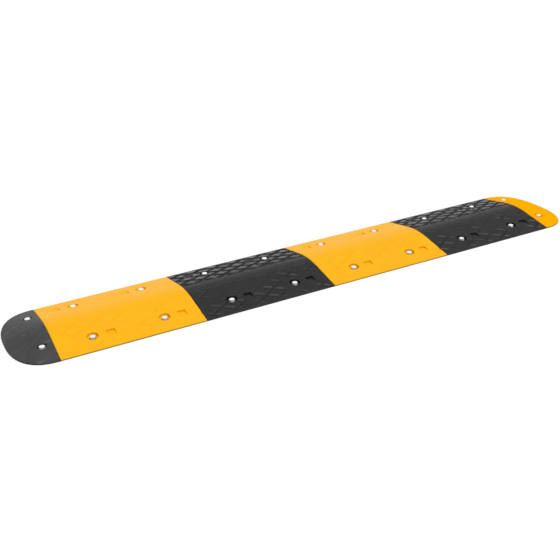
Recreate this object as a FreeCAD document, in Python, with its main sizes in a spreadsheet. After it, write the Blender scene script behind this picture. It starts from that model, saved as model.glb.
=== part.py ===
import FreeCAD, Part
import math
import os

import Sketcher
from FreeCAD import Placement, Rotation, Vector

# Modular rubber speed bump: four straight modules in a row with a rounded cap on each end.
# Frame: X along the row, Y across it (the way a wheel crosses), Z up, underside on Z = 0.
# Two moulded pegs on a piece's right end plug into two sockets in the next piece's left end:
# the left cap has only pegs, the right cap has only sockets.

DRIVING_SIZES = {
    # straight module
    "module_length": 500.0,
    "module_width": 400.0,
    "crown_height": 35.5,
    "crown_radius": 360.0,
    "lip_height": 4.3,
    "seam_gap": 0.5,
    "seam_round": 2.0,
    # fixing holes of a module
    "hole_spacing_along": 250.0,
    "hole_spacing_across": 250.0,
    "hole_diameter": 14.0,
    "counterbore_diameter": 39.0,
    "seat_height": 8.5,
    # marker recesses beside the holes
    "recess_width": 30.0,
    "recess_shift": 62.5,
    "recess_inner": 112.0,
    "recess_outer": 150.0,
    "recess_floor": 13.6,
    # moulded pegs and their sockets
    "peg_diameter": 16.0,
    "peg_reach": 24.0,
    "peg_height": 14.0,
    "peg_spacing": 120.0,
    "peg_clearance": 0.3,
    # end caps
    "cap_length": 140.0,
    "cap_squareness": 2.5,
    "cap_hole_inset": 37.0,
    "cap_hole_spacing": 218.0,
    "cap_counterbore_diameter": 30.0,
    "cap_seat_height": 11.0,
    # hexagon fixing bolts and plain washers
    "bolt_diameter": 12.0,
    "bolt_thread_diameter": 10.8,
    "bolt_neck_below_washer": 1.0,
    "bolt_head_across_flats": 18.0,
    "bolt_head_height": 7.5,
    "bolt_tip_height": 0.5,
    "washer_diameter": 24.0,
    "washer_hole_diameter": 13.0,
    "washer_thickness": 2.5,
}

MODULES = ["yellow_module_1", "black_module_1", "yellow_module_2", "black_module_2"]
THROUGH_ALL = "ThroughAll"
HEX_SIDES = 6
HEAD_CHAMFER = math.radians(30.0)
HEAD_FLAT_SHARE = 0.95
DOME_COLUMNS = 29
DOME_ROWS = 49
DOME_MARGIN = 1.04
OUTLINE_POINTS = 41
CUTTER_BASE = "-1.0"
PEG_ROOT = 1.0
MODEL_TOLERANCE = 1e-3


def make_sheet(doc):
    """Spreadsheet with one plain number and one alias per driving size."""
    sheet = doc.addObject("Spreadsheet::Sheet", "sizes")
    for row, (alias, value) in enumerate(DRIVING_SIZES.items(), start=1):
        sheet.set("A%d" % row, alias)
        sheet.set("B%d" % row, str(value))
        sheet.setAlias("B%d" % row, alias)
    doc.recompute()
    return sheet


doc = FreeCAD.newDocument("speed_bump")
sheet = make_sheet(doc)


def size(alias):
    """Present value of a driving size, in millimetres."""
    return float(sheet.get(alias))


def bind(obj, path, formula):
    """Tie one property of an object to a formula in the sheet's aliases."""
    obj.setExpression(path, formula)


def in_sheet(formula):
    """Formula text with each alias written as a reference to the sheet."""
    for alias in sorted(DRIVING_SIZES, key=len, reverse=True):
        formula = formula.replace("{%s}" % alias, "sizes.%s" % alias)
    return formula


def number(formula):
    """Value of a formula whose aliases stand in braces."""
    for alias in DRIVING_SIZES:
        formula = formula.replace("{%s}" % alias, repr(size(alias)))
    return float(FreeCAD.Units.parseQuantity(formula).Value)


# ---------------------------------------------------------------- sketch helpers


def plane(body, role):
    """Origin plane of a body, such as XY_Plane."""
    return next(f for f in body.Origin.OriginFeatures if f.Role == role)


def add_sketch(body, name, role, offset="0"):
    """Sketch on one of the body's own planes, moved along the plane's normal."""
    sketch = body.newObject("Sketcher::SketchObject", name)
    sketch.AttachmentSupport = [(plane(body, role), "")]
    sketch.MapMode = "FlatFace"
    sketch.AttachmentOffset = Placement(Vector(0, 0, number(offset)), Rotation())
    bind(sketch, "AttachmentOffset.Base.z", in_sheet(offset))
    return sketch


def fix_distance(sketch, kind, geometry, point, formula):
    """Hold a point's X or Y distance from the sketch origin at a formula's value."""
    value = number(formula)
    if value < 0:
        index = sketch.addConstraint(Sketcher.Constraint(kind, geometry, point, -1, 1, -value))
        formula = "-(%s)" % formula
    else:
        index = sketch.addConstraint(Sketcher.Constraint(kind, -1, 1, geometry, point, value))
    bind(sketch, "Constraints[%d]" % index, in_sheet(formula))


def add_circle(sketch, x, y, diameter):
    """Circle whose centre and diameter follow formulas."""
    centre = Vector(number(x), number(y), 0)
    circle = sketch.addGeometry(Part.Circle(centre, Vector(0, 0, 1), number(diameter) / 2))
    fix_distance(sketch, "DistanceX", circle, 3, x)
    fix_distance(sketch, "DistanceY", circle, 3, y)
    index = sketch.addConstraint(Sketcher.Constraint("Diameter", circle, number(diameter)))
    bind(sketch, "Constraints[%d]" % index, in_sheet(diameter))


def add_rectangle(sketch, left, right, low, high):
    """Rectangle whose four sides follow formulas."""
    x0, x1, y0, y1 = (number(side) for side in (left, right, low, high))
    corners = [Vector(x0, y0, 0), Vector(x1, y0, 0), Vector(x1, y1, 0), Vector(x0, y1, 0)]
    lines = []
    for start, end in zip(corners, corners[1:] + corners[:1]):
        lines.append(sketch.addGeometry(Part.LineSegment(start, end)))
    for line, following in zip(lines, lines[1:] + lines[:1]):
        sketch.addConstraint(Sketcher.Constraint("Coincident", line, 2, following, 1))
    for line, kind in zip(lines, ["Horizontal", "Vertical"] * 2):
        sketch.addConstraint(Sketcher.Constraint(kind, line))
    fix_distance(sketch, "DistanceX", lines[0], 1, left)
    fix_distance(sketch, "DistanceX", lines[0], 2, right)
    fix_distance(sketch, "DistanceY", lines[0], 1, low)
    fix_distance(sketch, "DistanceY", lines[2], 1, high)


def pad(body, sketch, name, length):
    """Pad a sketch along its normal."""
    feature = body.newObject("PartDesign::Pad", name)
    feature.Profile = sketch
    bind(feature, "Length", in_sheet(length))
    doc.recompute()
    return feature


def pocket(body, sketch, name, length=THROUGH_ALL):
    """Pocket a sketch along its normal, through everything or to a depth."""
    feature = body.newObject("PartDesign::Pocket", name)
    feature.Profile = sketch
    feature.Reversed = True
    if length == THROUGH_ALL:
        feature.Type = THROUGH_ALL
    else:
        bind(feature, "Length", in_sheet(length))
    doc.recompute()
    return feature


# ---------------------------------------------------------------- straight module


def tangent_angle():
    """Slope of the flanks: the line from the lip that touches the crown arc."""
    radius = size("crown_radius")
    across = size("module_width") / 2
    rise = size("lip_height") - (size("crown_height") - radius)
    reach = math.hypot(across, rise)
    return math.atan2(across, rise) - math.acos(radius / reach)


def draw_module_profile(sketch):
    """Cross-section: flat base, low upright lips, straight flanks and a tangent crown arc."""
    half = size("module_width") / 2
    lip = size("lip_height")
    radius = size("crown_radius")
    angle = tangent_angle()
    centre = Vector(0, size("crown_height") - radius, 0)
    touch = Vector(radius * math.sin(angle), centre.y + radius * math.cos(angle), 0)
    mirrored = Vector(-touch.x, touch.y, 0)
    circle = Part.Circle(centre, Vector(0, 0, 1), radius)
    arc = Part.ArcOfCircle(circle, math.pi / 2 - angle, math.pi / 2 + angle)

    base = sketch.addGeometry(Part.LineSegment(Vector(-half, 0, 0), Vector(half, 0, 0)))
    right_lip = sketch.addGeometry(Part.LineSegment(Vector(half, 0, 0), Vector(half, lip, 0)))
    right_flank = sketch.addGeometry(Part.LineSegment(Vector(half, lip, 0), touch))
    crown = sketch.addGeometry(arc)
    left_flank = sketch.addGeometry(Part.LineSegment(mirrored, Vector(-half, lip, 0)))
    left_lip = sketch.addGeometry(Part.LineSegment(Vector(-half, lip, 0), Vector(-half, 0, 0)))

    for first, second in ((base, right_lip), (right_lip, right_flank),
                          (left_flank, left_lip), (left_lip, base)):
        sketch.addConstraint(Sketcher.Constraint("Coincident", first, 2, second, 1))
    sketch.addConstraint(Sketcher.Constraint("Tangent", right_flank, 2, crown, 1))
    sketch.addConstraint(Sketcher.Constraint("Tangent", crown, 2, left_flank, 1))
    sketch.addConstraint(Sketcher.Constraint("PointOnObject", crown, 3, -2))
    sketch.addConstraint(Sketcher.Constraint("Vertical", right_lip))
    sketch.addConstraint(Sketcher.Constraint("Vertical", left_lip))
    fix_distance(sketch, "DistanceX", base, 1, "-{module_width} / 2")
    fix_distance(sketch, "DistanceX", base, 2, "{module_width} / 2")
    sketch.addConstraint(Sketcher.Constraint("Horizontal", base))
    sketch.addConstraint(Sketcher.Constraint("PointOnObject", base, 1, -1))
    fix_distance(sketch, "DistanceY", right_lip, 2, "{lip_height}")
    fix_distance(sketch, "DistanceY", left_lip, 1, "{lip_height}")
    fix_distance(sketch, "DistanceY", crown, 3, "{crown_height} - {crown_radius}")
    index = sketch.addConstraint(Sketcher.Constraint("Radius", crown, radius))
    bind(sketch, "Constraints[%d]" % index, in_sheet("{crown_radius}"))


def crown_edges(shape):
    """Names of the edges that run over the top of both end faces."""
    names = []
    ends = (shape.BoundBox.XMin, shape.BoundBox.XMax)
    for index, edge in enumerate(shape.Edges, start=1):
        box = edge.BoundBox
        at_end = any(abs(box.XMin - x) + abs(box.XMax - x) < MODEL_TOLERANCE for x in ends)
        if at_end and box.ZMax > size("lip_height") + 1 and box.YLength > 1:
            names.append("Edge%d" % index)
    return names


def add_pegs(body, height_offset):
    """Two round pegs that stand out of the right end face."""
    sketch = add_sketch(body, "peg_sketch", "YZ_Plane", height_offset)
    for side in (-1, 1):
        add_circle(sketch, "%d * {peg_spacing} / 2" % side, "{peg_height}", "{peg_diameter}")
    return pad(body, sketch, "pegs", "{peg_reach}")


def add_sockets(body):
    """Two round sockets in the left end face, a clearance larger than the pegs."""
    sketch = add_sketch(body, "socket_sketch", "YZ_Plane")
    bore = "{peg_diameter} + 2 * {peg_clearance}"
    for side in (-1, 1):
        add_circle(sketch, "%d * {peg_spacing} / 2" % side, "{peg_height}", bore)
    return pocket(body, sketch, "sockets", "{peg_reach}")


def hole_places():
    """Formulas of the four hole centres, from the module's left end and centre line."""
    middle = "({module_length} - {seam_gap}) / 2"
    places = []
    for along in (-1, 1):
        for across in (-1, 1):
            x = "%s + %d * {hole_spacing_along} / 2" % (middle, along)
            y = "%d * {hole_spacing_across} / 2" % across
            places.append((x, y, across))
    return places


def make_module(name, position):
    """One straight module; position counts modules from the left end of the row."""
    body = doc.addObject("PartDesign::Body", name)
    body.Label = name
    profile = add_sketch(body, "profile", "YZ_Plane")
    draw_module_profile(profile)
    length = "{module_length} - {seam_gap}"
    block = pad(body, profile, "block", length)
    rounding = body.newObject("PartDesign::Fillet", "seam_rounding")
    rounding.Base = (block, crown_edges(block.Shape))
    bind(rounding, "Radius", in_sheet("{seam_round}"))
    doc.recompute()

    add_pegs(body, length)
    add_sockets(body)

    counterbores = add_sketch(body, "counterbore_sketch", "XY_Plane", "{seat_height}")
    holes = add_sketch(body, "hole_sketch", "XY_Plane")
    recesses = add_sketch(body, "recess_sketch", "XY_Plane", "{recess_floor}")
    for x, y, across in hole_places():
        add_circle(counterbores, x, y, "{counterbore_diameter}")
        add_circle(holes, x, y, "{hole_diameter}")
        # front recesses lie to the right of their hole, rear ones to the left
        middle = "%s - %d * {recess_shift}" % (x, across)
        left, right = (middle + " %s {recess_width} / 2" % sign for sign in "-+")
        sides = ("%d * {recess_inner}" % across, "%d * {recess_outer}" % across)
        near, far = sorted(sides, key=number)
        add_rectangle(recesses, left, right, near, far)
    pocket(body, counterbores, "counterbores")
    pocket(body, holes, "holes")
    pocket(body, recesses, "recesses")
    bind(body, "Placement.Base.x", in_sheet("%d * {module_length} + {seam_gap} / 2" % (position - 2)))
    return body


# ---------------------------------------------------------------- end caps


def profile_height(distance):
    """Height of the module's top at a distance from the centre line."""
    radius = size("crown_radius")
    angle = tangent_angle()
    centre = size("crown_height") - radius
    touch = radius * math.sin(angle)
    if distance <= touch:
        return centre + math.sqrt(radius ** 2 - distance ** 2)
    return centre + radius * math.cos(angle) - (distance - touch) * math.tan(angle)


def cap_reach(x, y):
    """Share of the way from the crown (0) to the outline (1), on a rounded-square plan."""
    power = size("cap_squareness")
    along = abs(x) / size("cap_length")
    across = abs(y) / (size("module_width") / 2)
    return (along ** power + across ** power) ** (1 / power)


def dome_solid():
    """Everything under the cap's top: the module's profile turned round the rounded plan."""
    half = size("module_width") / 2
    rows = []
    for i in range(DOME_COLUMNS):
        x = -DOME_MARGIN * size("cap_length") * i / (DOME_COLUMNS - 1)
        row = []
        for j in range(DOME_ROWS):
            y = DOME_MARGIN * half * (2 * j / (DOME_ROWS - 1) - 1)
            row.append(Vector(x, y, profile_height(cap_reach(x, y) * half)))
        rows.append(row)
    surface = Part.BSplineSurface()
    surface.interpolate(rows)
    return surface.toShape().extrude(Vector(0, 0, -2 * size("crown_height")))


def outline_prism():
    """Upright prism on the cap's plan: a rounded-square nose closed by the seam line."""
    half = size("module_width") / 2
    power = 2 / size("cap_squareness")
    points = []
    for i in range(OUTLINE_POINTS):
        turn = math.pi * i / (OUTLINE_POINTS - 1)
        across = math.copysign(abs(math.cos(turn)) ** power, math.cos(turn))
        points.append(Vector(-size("cap_length") * abs(math.sin(turn)) ** power, half * across, 0))
    points[0].x = points[-1].x = 0
    nose = Part.BSplineCurve()
    nose.interpolate(points)
    seam = Part.LineSegment(points[-1], points[0])
    face = Part.Face(Part.Wire([nose.toShape(), seam.toShape()]))
    return face.extrude(Vector(0, 0, 2 * size("crown_height")))


def add_cylinder(name, x, y, z, diameter, height, along_x=False):
    """Cylinder bound to the sheet, upright or lying along +X."""
    cylinder = doc.addObject("Part::Cylinder", name)
    bind(cylinder, "Radius", in_sheet("(%s) / 2" % diameter))
    bind(cylinder, "Height", in_sheet(height))
    if along_x:
        cylinder.Placement = Placement(Vector(), Rotation(Vector(0, 1, 0), 90))
    for axis, formula in zip("xyz", (x, y, z)):
        bind(cylinder, "Placement.Base." + axis, in_sheet(formula))
    return cylinder


def cap_hole_places(side):
    """Formulas of a cap's two hole centres in the row's frame; side is -1 left, 1 right."""
    x = "%d * (2 * {module_length} + {cap_hole_inset})" % side
    return [(x, "%d * {cap_hole_spacing} / 2" % across) for across in (-1, 1)]


def make_cap(name, side):
    """End cap; the left one has pegs and the right one has sockets."""
    dome = doc.addObject("Part::Feature", name + "_dome")
    dome.Shape = dome_solid().common(outline_prism()).removeSplitter()
    turn = Rotation(Vector(0, 0, 1), 180 if side > 0 else 0)
    dome.Placement = Placement(Vector(), turn)
    bind(dome, "Placement.Base.x", in_sheet("%d * (2 * {module_length} + {seam_gap} / 2)" % side))

    cutters = []
    for count, (x, y) in enumerate(cap_hole_places(side), start=1):
        tag = "%s_hole_%d" % (name, count)
        cutters.append(add_cylinder(tag, x, y, CUTTER_BASE, "{hole_diameter}", "2 * {crown_height}"))
        cutters.append(add_cylinder(tag + "_counterbore", x, y, "{cap_seat_height}",
                                    "{cap_counterbore_diameter}", "2 * {crown_height}"))
    base = dome
    if side < 0:
        # the pegs start inside the cap, so that they fuse with it
        start = "-(2 * {module_length} + {seam_gap} / 2) - %s" % PEG_ROOT
        reach = "{peg_reach} + %s" % PEG_ROOT
        pegs = [add_cylinder("%s_peg_%d" % (name, i), start, "%d * {peg_spacing} / 2" % i,
                             "{peg_height}", "{peg_diameter}", reach, along_x=True)
                for i in (-1, 1)]
        base = doc.addObject("Part::MultiFuse", name + "_with_pegs")
        base.Shapes = [dome] + pegs
    else:
        start = "2 * {module_length} + {seam_gap} / 2"
        cutters += [add_cylinder("%s_socket_%d" % (name, i), start, "%d * {peg_spacing} / 2" % i,
                                 "{peg_height}", "{peg_diameter} + 2 * {peg_clearance}",
                                 "{peg_reach}", along_x=True)
                    for i in (-1, 1)]
    tools = doc.addObject("Part::MultiFuse", name + "_cutters")
    tools.Shapes = cutters
    cap = doc.addObject("Part::Cut", name)
    cap.Label = name
    cap.Base = base
    cap.Tool = tools
    cap.Refine = True
    doc.recompute()
    return cap


# ---------------------------------------------------------------- fixings


def make_bolt(name, x, y, seat):
    """Hexagon bolt: chamfered head on its washer, plain neck, thread to just above the underside."""
    head_base = "%s + {washer_thickness}" % seat
    head = doc.addObject("Part::Prism", name + "_hexagon")
    head.Polygon = HEX_SIDES
    corner = 1 / math.cos(math.pi / HEX_SIDES) / 2
    bind(head, "Circumradius", in_sheet("{bolt_head_across_flats} * %.9f" % corner))
    bind(head, "Height", in_sheet("{bolt_head_height}"))
    chamfer = doc.addObject("Part::Cone", name + "_chamfer")
    flat = "{bolt_head_across_flats} * %s / 2" % HEAD_FLAT_SHARE
    spread = 1 / math.tan(HEAD_CHAMFER)
    bind(chamfer, "Radius2", in_sheet(flat))
    bind(chamfer, "Radius1", in_sheet("%s + {bolt_head_height} * %.9f" % (flat, spread)))
    bind(chamfer, "Height", in_sheet("{bolt_head_height}"))
    for piece in (head, chamfer):
        for axis, formula in zip("xyz", (x, y, head_base)):
            bind(piece, "Placement.Base." + axis, in_sheet(formula))
    trimmed = doc.addObject("Part::Common", name + "_head")
    trimmed.Base = head
    trimmed.Tool = chamfer
    neck_base = "%s - {bolt_neck_below_washer}" % seat
    neck = add_cylinder(name + "_neck", x, y, neck_base, "{bolt_diameter}",
                        "{washer_thickness} + {bolt_neck_below_washer}")
    thread = add_cylinder(name + "_thread", x, y, "{bolt_tip_height}", "{bolt_thread_diameter}",
                          neck_base + " - {bolt_tip_height}")
    bolt = doc.addObject("Part::MultiFuse", name)
    bolt.Shapes = [trimmed, neck, thread]
    return bolt


def make_washer(name, x, y, seat):
    """Plain washer on the floor of its counterbore."""
    disc = add_cylinder(name + "_disc", x, y, seat, "{washer_diameter}", "{washer_thickness}")
    bore = add_cylinder(name + "_bore", x, y, seat, "{washer_hole_diameter}", "{washer_thickness}")
    washer = doc.addObject("Part::Cut", name)
    washer.Base = disc
    washer.Tool = bore
    return washer


def make_group(name, pieces):
    """One named group of separate solids."""
    group = doc.addObject("Part::Compound", name)
    group.Label = name
    group.Links = pieces
    return group


def make_fixings(owner, places, seat):
    """The bolts and washers that hold one rubber piece down, as two groups."""
    bolts = []
    washers = []
    for count, (x, y) in enumerate(places, start=1):
        bolts.append(make_bolt("%s_bolt_%d" % (owner, count), x, y, seat))
        washers.append(make_washer("%s_washer_%d" % (owner, count), x, y, seat))
    return [make_group(owner + "_bolts", bolts), make_group(owner + "_washers", washers)]


def module_hole_places(position):
    """A module's hole centres in the row's frame."""
    places = []
    for along in (-1, 1):
        for across in (-1, 1):
            x = "%.1f * {module_length} + %d * {hole_spacing_along} / 2" % (position - 1.5, along)
            places.append((x, "%d * {hole_spacing_across} / 2" % across))
    return places


# ---------------------------------------------------------------- the whole row


def make_row():
    """All rubber pieces from left to right, then their fixings."""
    pieces = [make_cap("left_end_cap", -1)]
    pieces += [make_module(name, position) for position, name in enumerate(MODULES)]
    pieces.append(make_cap("right_end_cap", 1))
    fixings = make_fixings("left_end_cap", cap_hole_places(-1), "{cap_seat_height}")
    for position, name in enumerate(MODULES):
        fixings += make_fixings(name, module_hole_places(position), "{seat_height}")
    fixings += make_fixings("right_end_cap", cap_hole_places(1), "{cap_seat_height}")
    doc.recompute()
    return pieces + fixings


def check_features():
    """Stop on a failed object, or on a pad or pocket that left its base as it was."""
    for obj in doc.Objects:
        if {"Invalid", "Error"} & set(obj.State):
            raise RuntimeError("%s failed: %s" % (obj.Name, obj.State))
        base = getattr(obj, "BaseFeature", None)
        if base is None or obj.TypeId not in ("PartDesign::Pad", "PartDesign::Pocket"):
            continue
        change = obj.Shape.Volume - base.Shape.Volume
        wanted = 1 if obj.TypeId == "PartDesign::Pad" else -1
        if change * wanted < 1:
            raise RuntimeError("%s changed nothing" % obj.Name)


def check_solids(pieces):
    """Stop on an empty, invalid or wrongly counted shape."""
    for piece in pieces:
        shape = piece.Shape
        if shape.isNull() or not shape.isValid():
            raise RuntimeError("%s has a bad shape" % piece.Label)
        expected = len(piece.Links) if piece.TypeId == "Part::Compound" else 1
        if len(shape.Solids) != expected:
            raise RuntimeError("%s has %d solids" % (piece.Label, len(shape.Solids)))


def export(pieces):
    """Write each piece to parts/ under its own label."""
    os.makedirs("parts", exist_ok=True)
    for piece in pieces:
        piece.Shape.exportStep("parts/%s.step" % piece.Label)
        box = piece.Shape.optimalBoundingBox()
        print("%-26s %7.1f x %6.1f x %5.1f mm, %9.0f mm3" % (
            piece.Label, box.XLength, box.YLength, box.ZLength, piece.Shape.Volume))


row = make_row()
check_features()
check_solids(row)
export(row)
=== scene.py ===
import logging
import math
from abc import ABC, abstractmethod
from dataclasses import dataclass, field
from enum import Enum
from typing import Any, Callable

import bmesh
import bpy
import numpy as np
from mathutils import Matrix, Vector


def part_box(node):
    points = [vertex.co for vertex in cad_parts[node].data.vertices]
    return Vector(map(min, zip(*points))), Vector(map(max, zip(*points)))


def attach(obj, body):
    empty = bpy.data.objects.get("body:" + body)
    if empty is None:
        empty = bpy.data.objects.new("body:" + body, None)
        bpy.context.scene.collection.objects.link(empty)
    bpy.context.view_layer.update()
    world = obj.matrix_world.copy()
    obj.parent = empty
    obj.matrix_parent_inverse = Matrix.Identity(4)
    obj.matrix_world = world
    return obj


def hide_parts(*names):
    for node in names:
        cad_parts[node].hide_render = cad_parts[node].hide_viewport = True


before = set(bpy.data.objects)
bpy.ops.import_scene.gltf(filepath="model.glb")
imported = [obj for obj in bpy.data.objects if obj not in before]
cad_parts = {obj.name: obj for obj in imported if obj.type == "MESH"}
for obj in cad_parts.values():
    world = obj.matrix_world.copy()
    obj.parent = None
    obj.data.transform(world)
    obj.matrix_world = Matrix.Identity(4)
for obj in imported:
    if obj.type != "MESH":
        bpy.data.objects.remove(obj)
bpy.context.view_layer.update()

# Looks of a modular rubber speed bump: four domed modules in a row, a rounded cap on each end,
# hexagon bolts and plain washers. Lengths are in millimetres until a mesh is made, X runs along
# the row, Y across it and Z up from the road.

ROOT = "root"
MM = 0.001
WELD_DISTANCE = 0.002
SHARP_ANGLE = math.radians(32.0)
FULL_TURN = 2 * math.pi
SEED = 7

log = logging.getLogger("speed_bump")
Array = np.ndarray
Height = Callable[[Array, Array], Array]
Ring = tuple[float | Array, float | Array]


class Rubber(Enum):
    """The two rubber compounds, named as the record's material slots."""

    BLACK = "black_rubber"
    YELLOW = "yellow_rubber"


class Side(Enum):
    """Which end of the row a cap closes, as the sign of its X."""

    LEFT = -1
    RIGHT = 1


# ---- small numeric helpers


def ease(low: float, high: float, value: Array) -> Array:
    """Smooth step: 0 below low, 1 above high, and 3t^2 - 2t^3 between them."""
    share = np.clip((value - low) / (high - low), 0, 1)
    return share * share * (3 - 2 * share)


def quarter_round(distance: Array, radius: float) -> Array:
    """Drop of a rounded edge: r - sqrt(r^2 - (r - d)^2) within r of the edge, 0 further in."""
    inside = radius - np.clip(distance, 0, radius)
    return radius - np.sqrt(radius**2 - inside**2)


def stations(length: float, start_round: float, end_round: float, spacing: float) -> Array:
    """Grid lines from 0 to length, even in the middle and crowded over both rounded ends.

    A line over a rounding of radius r stands r(1 - cos a) in from the end, at even steps of a.

    Args:
        length: distance covered.
        start_round: radius of the rounding at 0.
        end_round: radius of the rounding at length.
        spacing: even spacing wanted in the middle.

    Returns:
        Increasing distances, 0 and length among them.
    """
    turn = np.linspace(0, math.pi / 2, 5)[:-1]
    start = start_round * (1 - np.cos(turn))
    end = length - end_round * (1 - np.cos(turn))
    count = max(2, round((length - start_round - end_round) / spacing) + 1)
    middle = np.linspace(start_round, length - end_round, count)
    return np.concatenate([start, middle, end[::-1]])


def node_box(node: str) -> tuple[Array, Array]:
    """Lowest and highest corner of a CAD node, in millimetres."""
    low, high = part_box(node)
    return np.array(low) / MM, np.array(high) / MM


# ---- closed shells


@dataclass
class Shell:
    """Closed surface: vertices in millimetres, quads, and flat faces with more sides."""

    vertices: Array
    quads: Array
    caps: list[Array] = field(default_factory=list)

    def moved(self, offset: tuple[float, float, float]) -> "Shell":
        """The same shell, shifted by an offset."""
        return Shell(self.vertices + np.array(offset), self.quads, self.caps)

    def to_object(self, name: str) -> bpy.types.Object:
        """Makes a Blender object whose place is in its mesh.

        Args:
            name: name of the object and of its mesh.

        Returns:
            The object, linked to the scene and at the origin.
        """
        mesh = bpy.data.meshes.new(name)
        faces = self.quads.tolist() + [cap.tolist() for cap in self.caps]
        mesh.from_pydata((self.vertices * MM).tolist(), [], faces)
        mesh.update()
        piece = bpy.data.objects.new(name, mesh)
        bpy.context.scene.collection.objects.link(piece)
        return piece


def grid_quads(rows: int, columns: int, wrap_columns: bool, wrap_rows: bool = False) -> Array:
    """Quads between neighbouring lines of a grid stored row by row.

    Args:
        rows: number of rows.
        columns: number of vertices in a row.
        wrap_columns: join the last column to the first.
        wrap_rows: join the last row to the first.

    Returns:
        Vertex numbers, four for each quad.
    """
    row = np.arange(rows if wrap_rows else rows - 1)[:, None]
    column = np.arange(columns if wrap_columns else columns - 1)[None, :]
    next_row, next_column = (row + 1) % rows, (column + 1) % columns
    corners = [row * columns + column, row * columns + next_column,
               next_row * columns + next_column, next_row * columns + column]
    return np.stack([np.broadcast_to(c, (row.size, column.size)) for c in corners], -1).reshape(-1, 4)


def ring_shell(rings: Array) -> Shell:
    """Shell through a stack of rings, closed by a flat face at each end.

    Args:
        rings: array of ring, vertex and xyz; rings run counter-clockwise and bottom to top.

    Returns:
        The closed shell, faces outwards.
    """
    count, around = rings.shape[:2]
    first = np.arange(around)
    caps = [first[::-1], first + (count - 1) * around]
    return Shell(rings.reshape(-1, 3), grid_quads(count, around, True), caps)


def even_angles(count: int) -> Array:
    """Angles that part a full turn evenly, from 0 on."""
    return np.linspace(0, FULL_TURN, count, endpoint=False)


def turned_shell(x: float, y: float, angle: Array, rings: list[Ring]) -> Shell:
    """Closed shell about an upright axis, from rings of radius r and height z, bottom first.

    Each point stands at x + r cos a, y + r sin a and z, with r and z one number or one for each a.
    """
    stack = [np.stack(np.broadcast_arrays(x + r * np.cos(angle), y + r * np.sin(angle), z), -1)
             for r, z in rings]
    return ring_shell(np.stack(stack))


def joined(shells: list[Shell]) -> Shell:
    """Several shells as one, with their vertices renumbered."""
    starts = np.cumsum([0] + [len(shell.vertices) for shell in shells[:-1]])
    vertices = np.concatenate([shell.vertices for shell in shells])
    quads = np.concatenate([shell.quads + start for shell, start in zip(shells, starts)])
    caps = [cap + start for shell, start in zip(shells, starts) for cap in shell.caps]
    return Shell(vertices, quads, caps)


def relief_block(x: Array, y: Array, z: Array) -> Shell:
    """Block under a surface grid: the surface, one upright strip round it and a flat base at 0.

    Args:
        x: X of the grid, growing along the first axis.
        y: Y of the grid, growing along the second axis.
        z: height of the surface.

    Returns:
        The closed shell, faces outwards.
    """
    rows, columns = x.shape
    top = np.stack([x, y, z], -1).reshape(-1, 3)
    number = np.arange(rows * columns).reshape(rows, columns)
    rim = np.concatenate([number[:-1, 0], number[-1, :-1], number[:0:-1, -1], number[0, :0:-1]])
    base = top[rim] * np.array([1, 1, 0])
    low = len(top) + np.arange(len(rim))
    wall = np.stack([low, np.roll(low, -1), np.roll(rim, -1), rim], -1)
    surface = grid_quads(rows, columns, False)[:, ::-1]
    return Shell(np.concatenate([top, base]), np.concatenate([surface, wall]), [low[::-1]])


def combine(piece: bpy.types.Object, tool: Shell, operation: str) -> None:
    """Adds a shell to a piece or cuts it away, and leaves only the finished mesh.

    Args:
        piece: closed mesh that is changed.
        tool: closed shell.
        operation: UNION or DIFFERENCE.
    """
    other = tool.to_object(piece.name + "_tool")
    modifier = piece.modifiers.new(operation.lower(), "BOOLEAN")
    modifier.operation = operation
    modifier.solver = "MANIFOLD"
    modifier.object = other
    graph = bpy.context.evaluated_depsgraph_get()
    result = bpy.data.meshes.new_from_object(piece.evaluated_get(graph))
    piece.modifiers.clear()
    piece.data = result
    bpy.data.meshes.remove(other.data)


def weld(mesh: bpy.types.Mesh) -> None:
    """Joins vertices that a cut left almost on each other, and parts all faces into triangles.

    Slivers between joined vertices go, and no long face is left to fold back on itself.

    Args:
        mesh: closed mesh that is changed.
    """
    work = bmesh.new()
    work.from_mesh(mesh)
    bmesh.ops.remove_doubles(work, verts=work.verts, dist=WELD_DISTANCE * MM)
    bmesh.ops.dissolve_degenerate(work, edges=work.edges, dist=WELD_DISTANCE * MM)
    bmesh.ops.triangulate(work, faces=work.faces)
    work.to_mesh(mesh)
    work.free()


# ---- shape of the rubber


@dataclass(frozen=True)
class SlopeProfile:
    """Cross-section of the row: upright lips, straight flanks and a round crown."""

    half_width: float
    crown_height: float
    crown_radius: float = 360.0
    lip_height: float = 4.3

    def flank_angle(self) -> float:
        """Slope of the line from the lip that touches the crown arc, in radians."""
        rise = self.lip_height - (self.crown_height - self.crown_radius)
        reach = math.hypot(self.half_width, rise)
        return math.atan2(self.half_width, rise) - math.acos(self.crown_radius / reach)

    def height(self, distance: Array) -> Array:
        """Height over the road at a distance from the centre line.

        The crown is c + sqrt(r^2 - d^2); past the touch point the flank falls in a straight line.

        Args:
            distance: distance from the centre line, not negative.

        Returns:
            Heights, in millimetres.
        """
        angle = self.flank_angle()
        centre = self.crown_height - self.crown_radius
        touch = self.crown_radius * math.sin(angle)
        arc = centre + np.sqrt(self.crown_radius**2 - np.minimum(distance, touch) ** 2)
        return arc - np.maximum(distance - touch, 0) * math.tan(angle)


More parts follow.
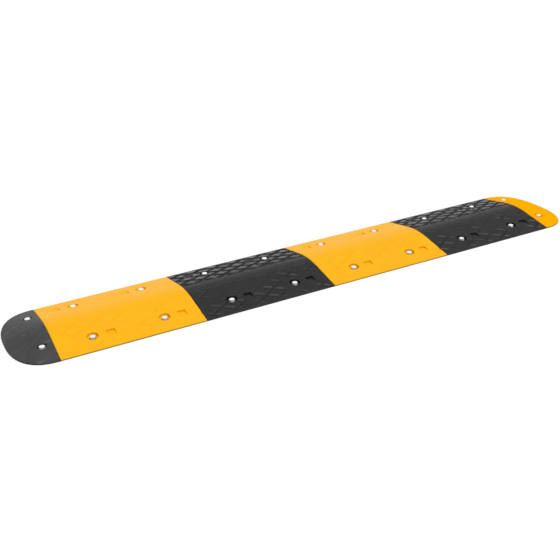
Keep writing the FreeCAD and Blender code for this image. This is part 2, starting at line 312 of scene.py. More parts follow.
@dataclass(frozen=True)
class PatchyFill:
    """Smooth patches in which the mould's grooves came out shallow."""

    waves: int = 7
    shortest: float = 60.0
    longest: float = 170.0
    least: float = 0.3
    least_level: float = -0.4
    full_level: float = 1.3

    def depth_share(self, x: Array, y: Array) -> Array:
        """Share of the depth that is left, from the least share to 1.

        Waves cos(2 pi (x cos a + y sin a) / l + p) of random direction a, length l and phase p
        are added up, scaled to a spread of one and eased.

        Args:
            x: distance along the row.
            y: distance across it.

        Returns:
            Share at every point.
        """
        chance = np.random.default_rng(SEED)
        turn, phase = chance.uniform(0, FULL_TURN, (2, self.waves))
        length = chance.uniform(self.shortest, self.longest, self.waves)
        along = x[..., None] * np.cos(turn) + y[..., None] * np.sin(turn)
        level = np.cos(FULL_TURN * along / length + phase).sum(-1) / math.sqrt(self.waves / 2)
        share = ease(self.least_level, self.full_level, level)
        return self.least + (1 - self.least) * share


@dataclass(frozen=True)
class Tread:
    """Lozenge blocks on both flanks, parted by two families of slanting grooves."""

    rear_depth: float
    front_depth: float
    lift: float
    pitch: float = 85.0
    first_block: float = 3.0
    row_pitch: float = 26.5
    outer_row: float = 178.5
    groove_floor: float = 1.2
    groove_shoulder: float = 10.5
    band_groove: float = 4.5
    band_depth_share: float = 0.8
    crown_band: float = 29.0
    band_blend: float = 1.0
    plain_rim: float = 8.0
    rim_blend: float = 3.0
    collar_start: float = 1.8
    collar_end: float = 5.0

    def slanting(self, x: Array, y: Array) -> Array:
        """Share of the way down a slanting groove, from 0 on a block to 1 on its floor.

        Grooves lie where u + v or u - v is a whole number and a half, with u = x over the pitch
        and v = distance from the outer row over two row pitches. A wide shoulder makes the blocks
        between them pillows with pointed ends.

        Args:
            x: distance from the left end on the rear flank, from the right end on the front one.
            y: distance across, positive on the rear flank.

        Returns:
            Share of the depth.
        """
        u = (x - self.first_block) / self.pitch
        v = (np.abs(y) - self.outer_row) / (2 * self.row_pitch)
        apart = 1 / math.hypot(1 / self.pitch, 1 / (2 * self.row_pitch))
        rising = np.abs(np.mod(u + v, 1) - 0.5) * apart
        falling = np.abs(np.mod(u - v, 1) - 0.5) * apart
        return 1 - ease(self.groove_floor, self.groove_shoulder, np.minimum(rising, falling))

    def relief(self, x: Array, y: Array, half_width: float,
               fill: Array) -> Array:
        """Height of the relief over the plain profile, negative in a groove.

        Blocks stand up by the lift and slanting grooves go down, between the crown band and the
        rim; one narrow groove runs along each side of the crown band.

        Args:
            x: distance along, as for slanting.
            y: distance across, positive on the rear flank.
            half_width: half the module's width.
            fill: share of the relief that the mould brought out.

        Returns:
            Heights, in millimetres.
        """
        across = np.abs(y)
        depth = np.where(y > 0, self.rear_depth, self.front_depth)
        slanting = self.slanting(x, y)
        rim = half_width - self.plain_rim
        treaded = ease(self.crown_band - self.band_blend, self.crown_band + self.band_blend, across)
        treaded *= 1 - ease(rim - self.rim_blend, rim, across)
        blocks = fill * treaded * (self.lift * (1 - slanting) - depth * slanting)
        lengthwise = 1 - ease(0, self.band_groove, np.abs(across - self.crown_band))
        return blocks * (1 - lengthwise) - self.band_depth_share * depth * lengthwise


@dataclass(frozen=True)
class FixingHole:
    """Clearance hole with a counterbore that takes the washer and the bolt's head."""

    x: float
    y: float
    seat: float
    counterbore_diameter: float
    hole_diameter: float = 14.0
    rim_round: float = 1.1
    rim_clear_share: float = 1.4
    floor_round: float = 1.5
    below: float = 1.0
    segments: int = 72

    def cutter(self, height: Height, over: float) -> Shell:
        """Stepped round tool; its rim's rings stand at the slope's height less the rounding's drop.

        Args:
            height: height of the rubber at x and y.
            over: height that is above everything.

        Returns:
            The closed cutting shell.
        """
        angle = even_angles(self.segments)
        wall, bore = self.counterbore_diameter / 2, self.hole_diameter / 2
        turn = np.linspace(0, math.pi / 2, 4)
        floor_radii = wall - self.floor_round * (1 - np.sin(turn))
        floor_levels = self.seat + self.floor_round * (1 - np.cos(turn))
        rings: list[Ring] = [(bore, -self.below), (bore, self.seat)]
        rings += zip(floor_radii, floor_levels)
        for step in turn:
            radius = wall + self.rim_round * (1 - math.cos(step))
            slope = height(self.x + radius * np.cos(angle), self.y + radius * np.sin(angle))
            rings.append((radius, slope - self.rim_round * (1 - math.sin(step))))
        clear = wall + self.rim_clear_share * self.rim_round
        rings += [(clear, rings[-1][1] + self.rim_round), (clear, over)]
        return turned_shell(self.x, self.y, angle, rings)

    def distance(self, x: Array, y: Array) -> Array:
        """Distance out from the counterbore's wall, negative inside it."""
        return np.hypot(x - self.x, y - self.y) - self.counterbore_diameter / 2


@dataclass(frozen=True)
class MarkerRecess:
    """Rectangular recess with a level floor, sunk into the flank for a reflecting marker."""

    x: float
    y: float
    width: float
    length: float
    floor: float
    corner_round: float = 3.0
    rim_round: float = 0.8
    rim_clear_share: float = 0.3
    ring_gap: float = 0.01
    segments: int = 15

    def outline(self, grow: float) -> Array:
        """Rounded rectangle, grown evenly: each corner is a quarter circle about a fixed centre.

        Args:
            grow: how far every side moves out.

        Returns:
            Points in order, counter-clockwise.
        """
        half = np.array([self.width, self.length]) / 2 - self.corner_round
        signs = np.repeat(np.array([[1, 1], [-1, 1], [-1, -1], [1, -1]]), self.segments, axis=0)
        start = np.repeat(np.arange(4) * math.pi / 2, self.segments)
        angle = start + np.tile(np.linspace(0, math.pi / 2, self.segments), 4)
        reach = self.corner_round + grow
        arc = np.stack([np.cos(angle), np.sin(angle)], -1) * reach
        return np.array([self.x, self.y]) + signs * half + arc

    def cutter(self, height: Height, over: float) -> Shell:
        """Upright tool with a level floor and a rim rounded over the slope.

        Args:
            height: height of the rubber at x and y.
            over: height that is above everything.

        Returns:
            The closed cutting shell.
        """
        rings: list[Ring] = [(0.0, self.floor)]
        for count, step in enumerate(np.linspace(0, math.pi / 2, 4), start=1):
            grow = self.rim_round * (1 - math.cos(step)) + self.ring_gap * count
            slope = height(*self.outline(grow).T)
            level = slope - self.rim_round * (1 - math.sin(step))
            rings.append((grow, np.maximum(level, self.floor + 2 * self.ring_gap * count)))
        clear = grow + self.rim_clear_share * self.rim_round
        rings += [(clear, rings[-1][1] + self.rim_round), (clear, over)]
        stack = [np.stack(np.broadcast_arrays(*self.outline(grow).T, level), -1)
                 for grow, level in rings]
        return ring_shell(np.stack(stack))

    def distance(self, x: Array, y: Array) -> Array:
        """Distance out from the recess's walls, negative inside it."""
        beyond_x = np.abs(x - self.x) - self.width / 2
        beyond_y = np.abs(y - self.y) - self.length / 2
        outside = np.hypot(np.maximum(beyond_x, 0), np.maximum(beyond_y, 0))
        return outside + np.minimum(np.maximum(beyond_x, beyond_y), 0)


@dataclass(frozen=True)
class Pegging:
    """Round pegs on one end of a piece, and the sockets in the next one."""

    diameter: float = 16.0
    reach: float = 24.0
    height: float = 14.0
    spacing: float = 120.0
    clearance: float = 0.3
    lead_in: float = 1.5
    behind_face: float = 4.0
    segments: int = 40

    def rods(self, start: float, stations_x: Array, radii: Array) -> Shell:
        """Two rods along X, each a stack of circles.

        Args:
            start: X that the stations are measured from.
            stations_x: distance of each circle from start.
            radii: radius of each circle.

        Returns:
            Both rods as one shell.
        """
        angle = even_angles(self.segments)
        along = np.broadcast_to((start + stations_x)[:, None], (len(radii), self.segments))
        rings = np.stack([along, radii[:, None] * np.cos(angle), radii[:, None] * np.sin(angle)], -1)
        rod = ring_shell(rings)
        return joined([rod.moved((0, side * self.spacing / 2, self.height)) for side in (-1, 1)])

    def pegs(self, face: float) -> Shell:
        """Pegs that stand out of the end face at X = face, with a chamfered tip."""
        radius = self.diameter / 2
        along = np.array([-self.behind_face, self.reach - self.lead_in, self.reach])
        return self.rods(face, along, np.array([radius, radius, radius - self.lead_in]))

    def sockets(self, face: float) -> Shell:
        """Sockets sunk into the end face at X = face."""
        radius = self.diameter / 2 + self.clearance
        return self.rods(face, np.array([-self.behind_face, self.reach]), np.array([radius, radius]))


# ---- finishes


def linear_colour(code: str) -> tuple[float, float, float, float]:
    """Linear colour with full alpha from an sRGB hex value.

    Args:
        code: six hex digits after a hash sign.

    Returns:
        Red, green, blue and alpha.
    """
    share = np.array([int(code[i:i + 2], 16) for i in (1, 3, 5)]) / 255
    linear = np.where(share <= 0.04045, share / 12.92, ((share + 0.055) / 1.055) ** 2.4)
    return (*map(float, linear), 1.0)


def add_node(tree: bpy.types.NodeTree, kind: str, settings: dict[str, Any] | None = None,
             inputs: dict[str | int, Any] | None = None) -> bpy.types.Node:
    """Adds one node, sets its properties, and sets or links its inputs.

    Args:
        tree: node tree that gets the node.
        kind: Blender's type name of the node, after ShaderNode.
        settings: property values by name.
        inputs: constant, or output socket to link from, by input name or number.

    Returns:
        The new node.
    """
    node = tree.nodes.new("ShaderNode" + kind)
    for name, value in (settings or {}).items():
        setattr(node, name, value)
    for key, value in (inputs or {}).items():
        if isinstance(value, bpy.types.NodeSocket):
            tree.links.new(value, node.inputs[key])
        else:
            node.inputs[key].default_value = value
    return node


def empty_material(name: str) -> tuple[bpy.types.Material, bpy.types.NodeTree]:
    """A material with an empty node tree."""
    material = bpy.data.materials.new(name)
    material.use_nodes = True
    material.node_tree.nodes.clear()
    return material, material.node_tree


@dataclass(frozen=True)
class MouldedRubber:
    """Crumb rubber pressed in a steel mould.

    The eye sees a soft sheen, not a gloss: a fine grain from the mould, cloudy patches where wax
    has bloomed, groove floors darkened as painted shade, pale rub marks, and a dark band of painted
    shadow round the foot of the lip.
    """

    name: str
    body: str
    bloom: str
    # colour of the painted shade on the groove floors
    groove_shade: str
    rub: str
    # colour of the painted shadow along the foot of the lip
    lip_shade: str
    roughness: tuple[float, float]
    specular: float
    bloom_amount: float
    rub_amount: float
    cloud_size: float = 70.0
    rub_length: float = 46.0
    rub_width: float = 5.0
    rub_turn: float = 24.0
    # height of the band of painted shadow at the foot of the lip
    lip_shade_height: float = 5.2
    groove_dulling: float = 0.25
    ior: float = 1.52
    # mould grain is about 0.5 mm, drawn at 2.2 mm so that it still shows from across the road
    grain_size: float = 2.2
    grain_height: float = 0.05

    def material(self) -> bpy.types.Material:
        """Builds the material; its patterns read Object coordinates and the groove attribute."""
        material, tree = empty_material(self.name)
        place = add_node(tree, "TexCoord").outputs["Object"]
        groove_shade = add_node(tree, "Attribute", {"attribute_name": "groove_shade"}).outputs["Fac"]
        height = add_node(tree, "SeparateXYZ", None, {"Vector": place}).outputs["Z"]
        cloud = add_node(tree, "TexNoise", None, {
            "Vector": place, "Scale": 1 / (self.cloud_size * MM), "Detail": 5.0, "Roughness": 0.6})
        stretched = add_node(tree, "Mapping", None, {
            "Vector": place, "Rotation": (0.0, 0.0, math.radians(self.rub_turn)),
            "Scale": (1 / (self.rub_length * MM), 1 / (self.rub_width * MM), 1.0)})
        streak = add_node(tree, "TexNoise", None, {
            "Vector": stretched.outputs["Vector"], "Scale": 1.0, "Detail": 3.0, "Roughness": 0.5,
            "Distortion": 1.3})
        # top of the painted lip shadow band, in metres
        lip_shade = self.lip_shade_height * MM
        clouded, rubbed, low = (
            add_node(tree, "MapRange", {"interpolation_type": "SMOOTHSTEP"}, {
                "Value": value, "From Min": start, "From Max": end, "To Min": at_start,
                "To Max": at_end}).outputs["Result"]
            for value, start, end, at_start, at_end in (
                (cloud.outputs["Fac"], 0.35, 0.72, 0.0, self.bloom_amount),
                (streak.outputs["Fac"], 0.6, 0.74, 0.0, self.rub_amount),
                # painted shadow at the foot of the lip: full up to half the band's height, gone at its
                # top
                (height, 0.5 * lip_shade, lip_shade, 1.0, 0.0)))
        colour = linear_colour(self.body)
        # mixed in turn: bloom, rub marks, painted shade on the groove floors, painted shadow at the
        # foot of the lip
        for share, code in ((clouded, self.bloom), (rubbed, self.rub), (groove_shade, self.groove_shade),
                            (low, self.lip_shade)):
            colour = add_node(tree, "Mix", {"data_type": "RGBA"}, {
                0: share, 6: colour, 7: linear_colour(code)}).outputs[2]
        sheen = add_node(tree, "MapRange", None, {
            "Value": cloud.outputs["Fac"], "From Min": 0.3, "From Max": 0.7,
            "To Min": self.roughness[0], "To Max": self.roughness[1]})
        duller = add_node(tree, "Math", {"operation": "MULTIPLY_ADD"}, {
            0: groove_shade, 1: self.groove_dulling, 2: sheen.outputs["Result"]})
        grain = add_node(tree, "TexNoise", None, {
            "Vector": place, "Scale": 1 / (self.grain_size * MM), "Detail": 2.0})
        bump = add_node(tree, "Bump", None, {
            "Height": grain.outputs["Fac"], "Distance": self.grain_height * MM})
        shader = add_node(tree, "BsdfPrincipled", None, {
            "Base Color": colour, "Roughness": duller.outputs["Value"],
            "IOR": self.ior, "Specular IOR Level": self.specular, "Normal": bump.outputs["Normal"]})
        add_node(tree, "OutputMaterial", None, {"Surface": shader.outputs["BSDF"]})
        return material


@dataclass(frozen=True)
class ZincPlate:
    """Cold formed steel with a matt zinc plating.

    The eye sees a soft, wide shine and faint dull patches where the plating is thicker. The metal
    share is what shines as bare metal does and the rest is a plain diffuse colour: on the bolts a
    near-white that is the pale zinc with a painted highlight, while the washers are plain grey metal.
    """

    name: str
    plate: str
    dull: str
    metal_share: float
    roughness: tuple[float, float] = (0.42, 0.58)
    # crystals of the plating are far below 0.1 mm, drawn as 3 mm patches so that they show
    patch_size: float = 3.0
    patch_height: float = 0.02

    def material(self) -> bpy.types.Material:
        """Builds the material; its patches read Object coordinates."""
        material, tree = empty_material(self.name)
        place = add_node(tree, "TexCoord").outputs["Object"]
        patch = add_node(tree, "TexNoise", None, {
            "Vector": place, "Scale": 1 / (self.patch_size * MM), "Detail": 3.0})
        colour = add_node(tree, "Mix", {"data_type": "RGBA"}, {
            0: patch.outputs["Fac"], 6: linear_colour(self.plate), 7: linear_colour(self.dull)})
        roughness = add_node(tree, "MapRange", None, {
            "Value": patch.outputs["Fac"], "To Min": self.roughness[0],
            "To Max": self.roughness[1]})
        bump = add_node(tree, "Bump", None, {
            "Height": patch.outputs["Fac"], "Distance": self.patch_height * MM})
        shader = add_node(tree, "BsdfPrincipled", None, {
            "Base Color": colour.outputs[2], "Roughness": roughness.outputs["Result"],
            "Metallic": self.metal_share, "Normal": bump.outputs["Normal"]})
        add_node(tree, "OutputMaterial", None, {"Surface": shader.outputs["BSDF"]})
        return material


# bolts: near-white diffuse colour, the pale zinc plus a painted highlight
BOLT_PLATING = ZincPlate("matt_zinc_steel_painted_highlight", plate="#FCFCFC", dull="#F0F1F2", metal_share=0.2)
WASHER_PLATING = ZincPlate("plain_zinc_plated_steel", plate="#B4B8BA", dull="#9A9FA2", metal_share=1.0)
# the groove and lip colours below are painted shade: darker groove floors and a dark band at the foot
# of the lip
BLACK_MODULE = MouldedRubber(
    name="moulded_black_rubber", body="#1A1A1A", bloom="#222222", groove_shade="#141414",
    rub="#3C3C3C", lip_shade="#0C0C0C", roughness=(0.36, 0.5), specular=0.3,
    bloom_amount=0.6, rub_amount=0.5)
YELLOW_MODULE = MouldedRubber(
    name="moulded_yellow_rubber", body="#F0AC00", bloom="#F3B108", groove_shade="#EEA700",
    rub="#F6BB30", lip_shade="#8A6C1C", roughness=(0.5, 0.62), specular=0.16,
    bloom_amount=0.6, rub_amount=0.3)
BLACK_CAP = MouldedRubber(
    name="scuffed_black_rubber", body="#3C3C3C", bloom="#494949", groove_shade="#3A3A3A",
    rub="#747474", lip_shade="#161616", roughness=(0.52, 0.66), specular=0.2,
    bloom_amount=0.9, rub_amount=0.5, rub_length=42.0, rub_width=13.0)
YELLOW_CAP = MouldedRubber(
    name="smooth_yellow_rubber", body="#F2A400", bloom="#F5A800", groove_shade="#F2A400",
    rub="#F6B210", lip_shade="#8A6C1C", roughness=(0.68, 0.78), specular=0.0,
    bloom_amount=0.6, rub_amount=0.2)
MODULE_FINISHES = {Rubber.BLACK: BLACK_MODULE, Rubber.YELLOW: YELLOW_MODULE}
MODULE_TREADS = {Rubber.BLACK: Tread(rear_depth=3.0, front_depth=2.6, lift=1.2),
                 Rubber.YELLOW: Tread(rear_depth=0.4, front_depth=1.8, lift=0.0)}


# ---- rubber pieces


def finish_piece(piece: bpy.types.Object, node: str, material: bpy.types.Material) -> None:
    """Dresses a finished mesh, puts it on its body and lets it stand for its CAD node.

    Args:
        piece: finished object.
        node: CAD node that it replaces.
        material: finish of the whole piece.
    """
    mesh = piece.data
    mesh.polygons.foreach_set("use_smooth", np.ones(len(mesh.polygons), bool))
    mesh.set_sharp_from_angle(angle=SHARP_ANGLE)
    mesh.materials.clear()
    mesh.materials.append(material)
    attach(piece, ROOT)
    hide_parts(node)
    mesh.calc_loop_triangles()
    log.info("%-34s %7d triangles", piece.name, len(mesh.loop_triangles))


@dataclass
class RubberPiece(ABC):
    """What the modules and the caps share: profile, pegs, holes and the way they are cut."""

    node: str
    compound: Rubber
    finish: MouldedRubber
    profile: SlopeProfile
    pegging: Pegging = Pegging()
    seam_round: float = 2.0
    lip_round: float = 1.2
    full_groove: float = 3.0
    over: float = 60.0
    spacing: float = 1.6
    counterbore_diameter: float = 39.0

    @abstractmethod
    def surface(self) -> Shell:
        """The piece before its holes are cut."""

    @abstractmethod
    def block_height(self, x: Array, y: Array) -> Array:
        """Height of the top without its relief."""

    def relief(self, x: Array, y: Array) -> Array:
        """Height of the relief over the plain top: none, unless the piece has a tread."""
        return np.zeros_like(x)

    @abstractmethod
    def cutters(self) -> list[Shell]:
        """Shells of all holes, recesses and sockets."""

    @abstractmethod
    def peg_face(self) -> float | None:
        """X of the end face that carries pegs, if the piece has any."""

    def hole_places(self) -> list[tuple[float, float]]:
        """Hole centres, from the box of the round washers that lie in them."""
        low, high = node_box(self.node + "_washers")
        radius = PlainWashers.diameter / 2
        along = sorted({round(low[0] + radius, 3), round(high[0] - radius, 3)})
        across = (low[1] + radius, high[1] - radius)
        return [(float(x), float(y)) for x in along for y in across]

    def seat(self) -> float:
        """Height of the counterbores' floors, where the washers lie."""
        return float(node_box(self.node + "_washers")[0][2])

    def holes(self) -> list[FixingHole]:
        """The counterbored holes."""
        return [FixingHole(x, y, self.seat(), self.counterbore_diameter)
                for x, y in self.hole_places()]

    def write_groove_attribute(self, piece: bpy.types.Object) -> None:
        """Stores at every vertex how deep it lies in a groove; the material darkens the grooves with
        it as painted shade and makes them duller.

        Args:
            piece: finished rubber piece.
        """
        mesh = piece.data
        places = np.empty(len(mesh.vertices) * 3, np.float32)
        mesh.vertices.foreach_get("co", places)
        x, y, z = places.reshape(-1, 3).astype(float).T / MM
        share = np.clip(-self.relief(x, y) / self.full_groove, 0, 1)
        share *= z > self.block_height(x, y) - self.seam_round - self.full_groove
        attribute = mesh.attributes.new("groove_shade", "FLOAT", "POINT")
        attribute.data.foreach_set("value", share.astype(np.float32))

    def build(self) -> None:
        """Makes, cuts and dresses the piece."""
        piece = self.surface().to_object(self.node + "_rubber")
        face = self.peg_face()
        if face is not None:
            combine(piece, self.pegging.pegs(face), "UNION")
        combine(piece, joined(self.cutters()), "DIFFERENCE")
        weld(piece.data)
        self.write_groove_attribute(piece)
        finish_piece(piece, self.node, self.finish.material())


@dataclass
class StraightModule(RubberPiece):
    """One domed module: lozenge tread on both flanks and a plain band along the crown."""

    patches: PatchyFill = PatchyFill()
    recess_width: float = 30.0
    recess_shift: float = 62.5
    recess_inner: float = 112.0
    recess_outer: float = 150.0
    recess_floor: float = 13.6

    def __post_init__(self) -> None:
        """Picks the compound's tread and reads the ends from the CAD node's box, pegs included."""
        self.tread = MODULE_TREADS[self.compound]
        low, high = node_box(self.node)
        self.left = float(low[0])
        self.right = float(high[0]) - self.pegging.reach

    def recesses(self) -> list[MarkerRecess]:
        """One recess beside each hole: to its right in front, to its left at the rear."""
        middle = (self.recess_inner + self.recess_outer) / 2
        length = self.recess_outer - self.recess_inner
        sides = [(x, math.copysign(1, y)) for x, y in self.hole_places()]
        return [MarkerRecess(x - side * self.recess_shift, side * middle, self.recess_width,
                             length, self.recess_floor) for x, side in sides]

    def block_height(self, x: Array, y: Array) -> Array:
        """The profile, alike all along the module."""
        return self.profile.height(np.abs(y))

    def relief(self, x: Array, y: Array) -> Array:
        """Tread relief, turned half round for the front flank, with plain collars at the cuts."""
        along = np.where(y > 0, x - self.left, self.right - x)
        fill = np.where(y > 0, 1, self.patches.depth_share(x, y))
        relief = self.tread.relief(along, y, self.profile.half_width, fill)
        for cut in self.holes() + self.recesses():
            relief *= ease(self.tread.collar_start, self.tread.collar_end, cut.distance(x, y))
        return relief

    def surface(self) -> Shell:
        """Top height = profile + relief - rounding at the seams - rounding at the lips."""
        half = self.profile.half_width
        along = self.left + stations(self.right - self.left, self.seam_round, self.seam_round,
                                     self.spacing)
        across = -half + stations(2 * half, self.lip_round, self.lip_round, self.spacing)
        x, y = np.meshgrid(along, across, indexing="ij")
        z = self.block_height(x, y) + self.relief(x, y)
        z -= quarter_round(np.minimum(x - self.left, self.right - x), self.seam_round)
        z -= quarter_round(half - np.abs(y), self.lip_round)
        return relief_block(x, y, z)

    def cutters(self) -> list[Shell]:
        """Holes, recesses and the sockets in the left end."""
        cuts = [cut.cutter(self.block_height, self.over) for cut in self.holes() + self.recesses()]
        return cuts + [self.pegging.sockets(self.left)]

    def peg_face(self) -> float:
        """Modules carry their pegs on the right end."""
        return self.right


@dataclass
class EndCap(RubberPiece):
    """Rounded cap: the module's profile turned round a plan between ellipse and rectangle."""

    side: Side = Side.LEFT
    squareness: float = 2.5
    counterbore_diameter: float = 30.0
    columns: int = 241
    corner_share: float = 0.9999
    least_height: float = 0.5

    def __post_init__(self) -> None:
        """Reads the seam and the nose from the CAD node, whose box takes in the left cap's pegs."""
        low, high = node_box(self.node)
        left_cap = self.side is Side.LEFT
        self.nose = float(low[0] if left_cap else high[0])
        self.seam = float(high[0]) - self.pegging.reach if left_cap else float(low[0])
        self.length = abs(self.nose - self.seam)

    def reach(self, x: Array, y: Array) -> Array:
        """Share of the way from the crown, 0, to the outline, 1: a superellipse's radius."""
        along = np.abs(x - self.seam) / self.length
        across = np.abs(y) / self.profile.half_width
        return (along**self.squareness + across**self.squareness) ** (1 / self.squareness)

    def block_height(self, x: Array, y: Array) -> Array:
        """The module's profile, read at the same share of the way to the outline."""
        return self.profile.height(self.reach(x, y) * self.profile.half_width)

    def outline_distance(self, x: Array, y: Array) -> Array:
        """Distance in from the outline: what is left of the reach over the reach's gradient."""
        step, least_gradient = 0.01, 1e-6
        rise_x = (self.reach(x + step, y) - self.reach(x - step, y)) / (2 * step)
        rise_y = (self.reach(x, y + step) - self.reach(x, y - step)) / (2 * step)
        gradient = np.maximum(np.hypot(rise_x, rise_y), least_gradient)
        return np.maximum(1 - self.reach(x, y), 0) / gradient

    def surface(self) -> Shell:
        """Lines across at y = b times half the width, with b the sine of an even angle.

        Each runs from the seam to the outline, L(1 - |b|^n)^(1/n) away.
        """
        turn = np.linspace(-1, 1, self.columns) * math.asin(self.corner_share)
        share = np.sin(turn)
        run = self.length * (1 - np.abs(share) ** self.squareness) ** (1 / self.squareness)
        steps = stations(self.length, self.seam_round, self.lip_round, self.spacing)
        near = np.minimum(steps, self.seam_round)[:, None]
        rest = (steps - self.seam_round).clip(0)[:, None] / (self.length - self.seam_round)
        inward = near + rest * (run[None, :] - self.seam_round)
        x = self.seam + self.side.value * inward
        y = np.broadcast_to(share * self.profile.half_width, x.shape)
        if self.side is Side.LEFT:
            x, y, inward = x[::-1], y[::-1], inward[::-1]
        z = self.block_height(x, y) - quarter_round(inward, self.seam_round)
        z -= quarter_round(self.outline_distance(x, y), self.lip_round)
        return relief_block(x, y, np.maximum(z, self.least_height))

    def cutters(self) -> list[Shell]:
        """Holes, and the sockets of the right cap."""
        cuts = [hole.cutter(self.block_height, self.over) for hole in self.holes()]
        if self.side is Side.RIGHT:
            cuts.append(self.pegging.sockets(self.seam))
        return cuts

    def peg_face(self) -> float | None:
        """Only the left cap has pegs."""
        return self.seam if self.side is Side.LEFT else None


# ---- fixings


@dataclass
class HexBolts:
    """The hexagon bolts of one rubber piece: chamfered head, washer face, neck and cut thread."""

    owner: RubberPiece
    turns: Array
    across_flats: float = 18.0
    washer_face: float = 0.4
    full_hexagon: float = 0.7
    corner_break: float = 0.985
    top_flat_share: float = 0.95
    cone_angle: float = 30.0
    edge_break: float = 0.1
    cone_swell: float = 0.06
    top_round: tuple[float, float] = (0.35, 0.08)
    neck_diameter: float = 12.0
    neck_below_seat: float = 1.0
    neck_lead: float = 0.6
    thread_outer: float = 11.8
    thread_inner: float = 10.1
    thread_pitch: float = 1.75
    thread_start_share: float = 0.82
    rows_per_pitch: int = 8
    segments: int = 48

    def thread_rings(self, angle: Array, low: float, high: float) -> list[Ring]:
        """Rings of a helical thread, tapered over the first pitch.

        The radius is a triangle wave of height over pitch less angle over a full turn.

        Args:
            angle: angles round the bolt.
            low: height of the tip.
            high: height where the neck starts.

        Returns:
            Pairs of radius and height, from the tip up.
        """
        count = int((high - low) / self.thread_pitch * self.rows_per_pitch)
        levels = np.linspace(low, high, count)
        phase = np.mod(levels[:, None] / self.thread_pitch - angle / FULL_TURN, 1)
        wave = np.abs(2 * phase - 1)
        radius = (self.thread_inner + (self.thread_outer - self.thread_inner) * wave) / 2
        start = self.thread_start_share
        taper = np.clip(start + (1 - start) * (levels - low) / self.thread_pitch, 0, 1)[:, None]
        return list(zip(radius * taper, levels))

    def bolt(self, x: float, y: float, turn: float) -> Shell:
        """One bolt as a stack of rings.

        The head's radius is a / cos(angle from the flat's middle), cut by a cone at the top edge.

        Args:
            x: X of the axis.
            y: Y of the axis.
            turn: how far the hexagon is turned.

        Returns:
            The closed shell.
        """
        angle = even_angles(self.segments)
        tip, top = (float(corner[2]) for corner in node_box(self.owner.node + "_bolts"))
        base = float(node_box(self.owner.node + "_washers")[1][2])
        seat = self.owner.seat()
        shoulder = seat - self.neck_below_seat
        neck, flat, sixth = self.neck_diameter / 2, self.across_flats / 2, math.pi / 3
        hexagon = flat / np.cos(np.mod(angle, sixth) - sixth / 2)
        top_flat = flat * self.top_flat_share
        fall = (hexagon - top_flat) * math.tan(math.radians(self.cone_angle))
        inward, down = self.top_round
        rings = self.thread_rings(angle, tip, shoulder)
        rings += [(neck - self.edge_break, shoulder + self.edge_break / 2),
                  (neck, seat - self.neck_lead), (neck, base),
                  (top_flat, base), (top_flat, base + self.washer_face),
                  (hexagon * self.corner_break, base + self.washer_face),
                  (hexagon, base + self.full_hexagon), (hexagon, top - fall - self.edge_break),
                  (hexagon * 0.5 + top_flat * 0.5, top - 0.5 * fall - self.cone_swell),
                  (top_flat, top - down), (top_flat - inward, top)]
        return turned_shell(x, y, angle + turn, rings)

    def build(self, material: bpy.types.Material) -> None:
        """Makes all bolts of the owner as one dressed piece.

        Args:
            material: finish of the steel.
        """
        places = self.owner.hole_places()
        shells = [self.bolt(x, y, turn) for (x, y), turn in zip(places, self.turns)]
        piece = joined(shells).to_object(self.owner.node + "_hex_bolts")
        finish_piece(piece, self.owner.node + "_bolts", material)


@dataclass
class PlainWashers:
    """The punched washers of one rubber piece, rounded above where the punch drew the sheet in."""

    owner: RubberPiece
    diameter: float = 24.0
    hole_diameter: float = 13.0
    drawn_edge: float = 0.5
    sharp_edge: float = 0.12
    segments: int = 64

    def section(self, low: float, high: float) -> Array:
        """Radius and height round the washer's section, with a quarter circle at each corner.

        Args:
            low: height of the lower face.
            high: height of the upper face.

        Returns:
            Closed loop of radius and height, counter-clockwise seen along the ring.
        """
        corners = [(self.diameter / 2, low, -1, 1, self.sharp_edge, -math.pi / 2),
                   (self.diameter / 2, high, -1, -1, self.drawn_edge, 0.0),
                   (self.hole_diameter / 2, high, 1, -1, self.sharp_edge, math.pi / 2),
                   (self.hole_diameter / 2, low, 1, 1, self.sharp_edge, math.pi)]
        arcs = []
        for radius, level, inward, upward, bend, start in corners:
            turn = start + np.linspace(0, math.pi / 2, 4)
            arcs.append(np.stack([radius + bend * (inward + np.cos(turn)),
                                  level + bend * (upward + np.sin(turn))], -1))
        return np.concatenate(arcs)

    def build(self, material: bpy.types.Material) -> None:
        """Carries the section round each hole and dresses the group.

        Args:
            material: finish of the steel.
        """
        low, high = node_box(self.owner.node + "_washers")
        section = self.section(float(low[2]), float(high[2]))
        angle = even_angles(self.segments)[:, None]
        radius, level = section[:, 0], section[:, 1]
        points = np.stack([radius * np.cos(angle), radius * np.sin(angle),
                           np.broadcast_to(level, (self.segments, len(level)))], -1)
        quads = grid_quads(self.segments, len(level), True, True)[:, ::-1]
        ring = Shell(points.reshape(-1, 3), quads)
        shells = [ring.moved((x, y, 0)) for x, y in self.owner.hole_places()]
        piece = joined(shells).to_object(self.owner.node + "_plain_washers")
        finish_piece(piece, self.owner.node + "_washers", material)


# ---- studio


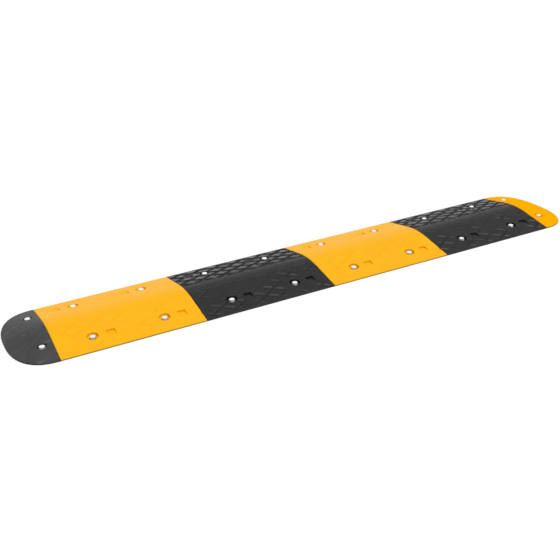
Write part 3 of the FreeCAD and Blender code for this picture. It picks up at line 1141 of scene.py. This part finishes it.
@dataclass(frozen=True)
class Studio:
    """Pale floor, white surroundings, soft lights and the camera, in metres and degrees."""

    floor_half: float = 60.0
    floor_colour: str = "#F7F7F7"
    floor_roughness: float = 0.9
    floor_specular: float = 0.2
    surroundings: float = 0.45
    overhead_strength: float = 2.3
    overhead_spread: float = 44.0
    overhead_tilt: tuple[float, float, float] = (16.0, 12.0, 0.0)
    camera_place: tuple[float, float, float] = (-1.380, -2.584, 1.366)
    azimuth: float = -25.94
    elevation: float = 25.83
    roll: float = -2.75
    lens: float = 54.55
    strip_place: tuple[float, float, float] = (0.9, 4.2, 0.28)
    strip_target: tuple[float, float, float] = (0.0, 0.0, 0.05)
    strip_size: tuple[float, float] = (7.0, 0.5)
    strip_power: float = 38.0

    def floor(self) -> None:
        """A flat pale sheet under the object."""
        half = self.floor_half / MM
        corners = np.array([(-half, -half, 0), (half, -half, 0), (half, half, 0), (-half, half, 0)])
        sheet = Shell(corners.astype(float), np.array([[0, 1, 2, 3]])).to_object("studio_floor")
        material, tree = empty_material("matt_white_floor_paint")
        shader = add_node(tree, "BsdfPrincipled", None, {
            "Base Color": linear_colour(self.floor_colour), "Roughness": self.floor_roughness,
            "Specular IOR Level": self.floor_specular})
        add_node(tree, "OutputMaterial", None, {"Surface": shader.outputs["BSDF"]})
        sheet.data.materials.append(material)

    def surround(self) -> None:
        """Even white light from all round."""
        world = bpy.data.worlds.new("white_surroundings")
        world.use_nodes = True
        world.node_tree.nodes.clear()
        glow = add_node(world.node_tree, "Background", None, {
            "Color": (1.0, 1.0, 1.0, 1.0), "Strength": self.surroundings})
        add_node(world.node_tree, "OutputWorld", None, {
            "Surface": glow.outputs["Background"]})
        bpy.context.scene.world = world

    def overhead(self) -> None:
        """A wide soft light from high in front and a little to the right, alike all over the floor."""
        data = bpy.data.lights.new("overhead_diffuser", "SUN")
        data.energy = self.overhead_strength
        data.angle = math.radians(self.overhead_spread)
        light = bpy.data.objects.new("overhead_diffuser", data)
        light.rotation_euler = tuple(math.radians(turn) for turn in self.overhead_tilt)
        bpy.context.scene.collection.objects.link(light)

    def rear_strip(self) -> None:
        """A long low soft box behind the row, aimed at its middle."""
        data = bpy.data.lights.new("rear_strip", "AREA")
        data.shape = "RECTANGLE"
        data.size, data.size_y = self.strip_size
        data.energy = self.strip_power
        light = bpy.data.objects.new("rear_strip", data)
        light.location = self.strip_place
        aim = Vector(self.strip_target) - Vector(self.strip_place)
        light.rotation_mode = "QUATERNION"
        light.rotation_quaternion = aim.to_track_quat("-Z", "Y")
        bpy.context.scene.collection.objects.link(light)

    def camera(self) -> None:
        """Camera at its place, turned by azimuth, elevation and roll."""
        azimuth, elevation = math.radians(self.azimuth), math.radians(self.elevation)
        ahead = Vector((-math.sin(azimuth) * math.cos(elevation),
                        math.cos(azimuth) * math.cos(elevation), -math.sin(elevation)))
        level = ahead.cross(Vector((0, 0, 1))).normalized()
        upright = level.cross(ahead)
        roll = math.radians(self.roll)
        right = level * math.cos(roll) + upright * math.sin(roll)
        up = right.cross(ahead)
        data = bpy.data.cameras.new("camera")
        data.lens = self.lens
        data.clip_end = 2 * self.floor_half
        camera = bpy.data.objects.new("camera", data)
        turn = Matrix((right, up, -ahead)).transposed().to_4x4()
        camera.matrix_world = Matrix.Translation(self.camera_place) @ turn
        bpy.context.scene.collection.objects.link(camera)
        bpy.context.scene.camera = camera

    def build(self) -> None:
        """Sets up the whole studio."""
        bpy.context.scene.view_settings.view_transform = "Standard"
        self.floor()
        self.surround()
        self.camera()
        self.overhead()
        self.rear_strip()


# ---- the whole row


@dataclass
class SpeedBump:
    """The row: left cap, four modules in turn yellow and black, right cap, and all fixings."""

    modules: tuple[tuple[str, Rubber], ...] = (
        ("yellow_module_1", Rubber.YELLOW), ("black_module_1", Rubber.BLACK),
        ("yellow_module_2", Rubber.YELLOW), ("black_module_2", Rubber.BLACK))

    def build(self) -> None:
        """Makes every piece from left to right."""
        low, high = node_box(self.modules[0][0])
        profile = SlopeProfile(float(high[1] - low[1]) / 2, float(high[2]))
        bolt_steel, washer_steel = BOLT_PLATING.material(), WASHER_PLATING.material()
        pieces: list[RubberPiece] = [
            EndCap("left_end_cap", Rubber.BLACK, BLACK_CAP, profile, side=Side.LEFT)]
        pieces += [StraightModule(node, compound, MODULE_FINISHES[compound], profile)
                   for node, compound in self.modules]
        pieces.append(EndCap("right_end_cap", Rubber.YELLOW, YELLOW_CAP, profile, side=Side.RIGHT))
        chance = np.random.default_rng(SEED)
        for piece in pieces:
            piece.build()
            turns = chance.uniform(0, math.pi / 3, len(piece.hole_places()))
            HexBolts(piece, turns).build(bolt_steel)
            PlainWashers(piece).build(washer_steel)


def main() -> None:
    """Builds the row and its studio."""
    logging.basicConfig(level=logging.INFO, format="%(message)s")
    SpeedBump().build()
    Studio().build()


if __name__ == "__main__":
    main()
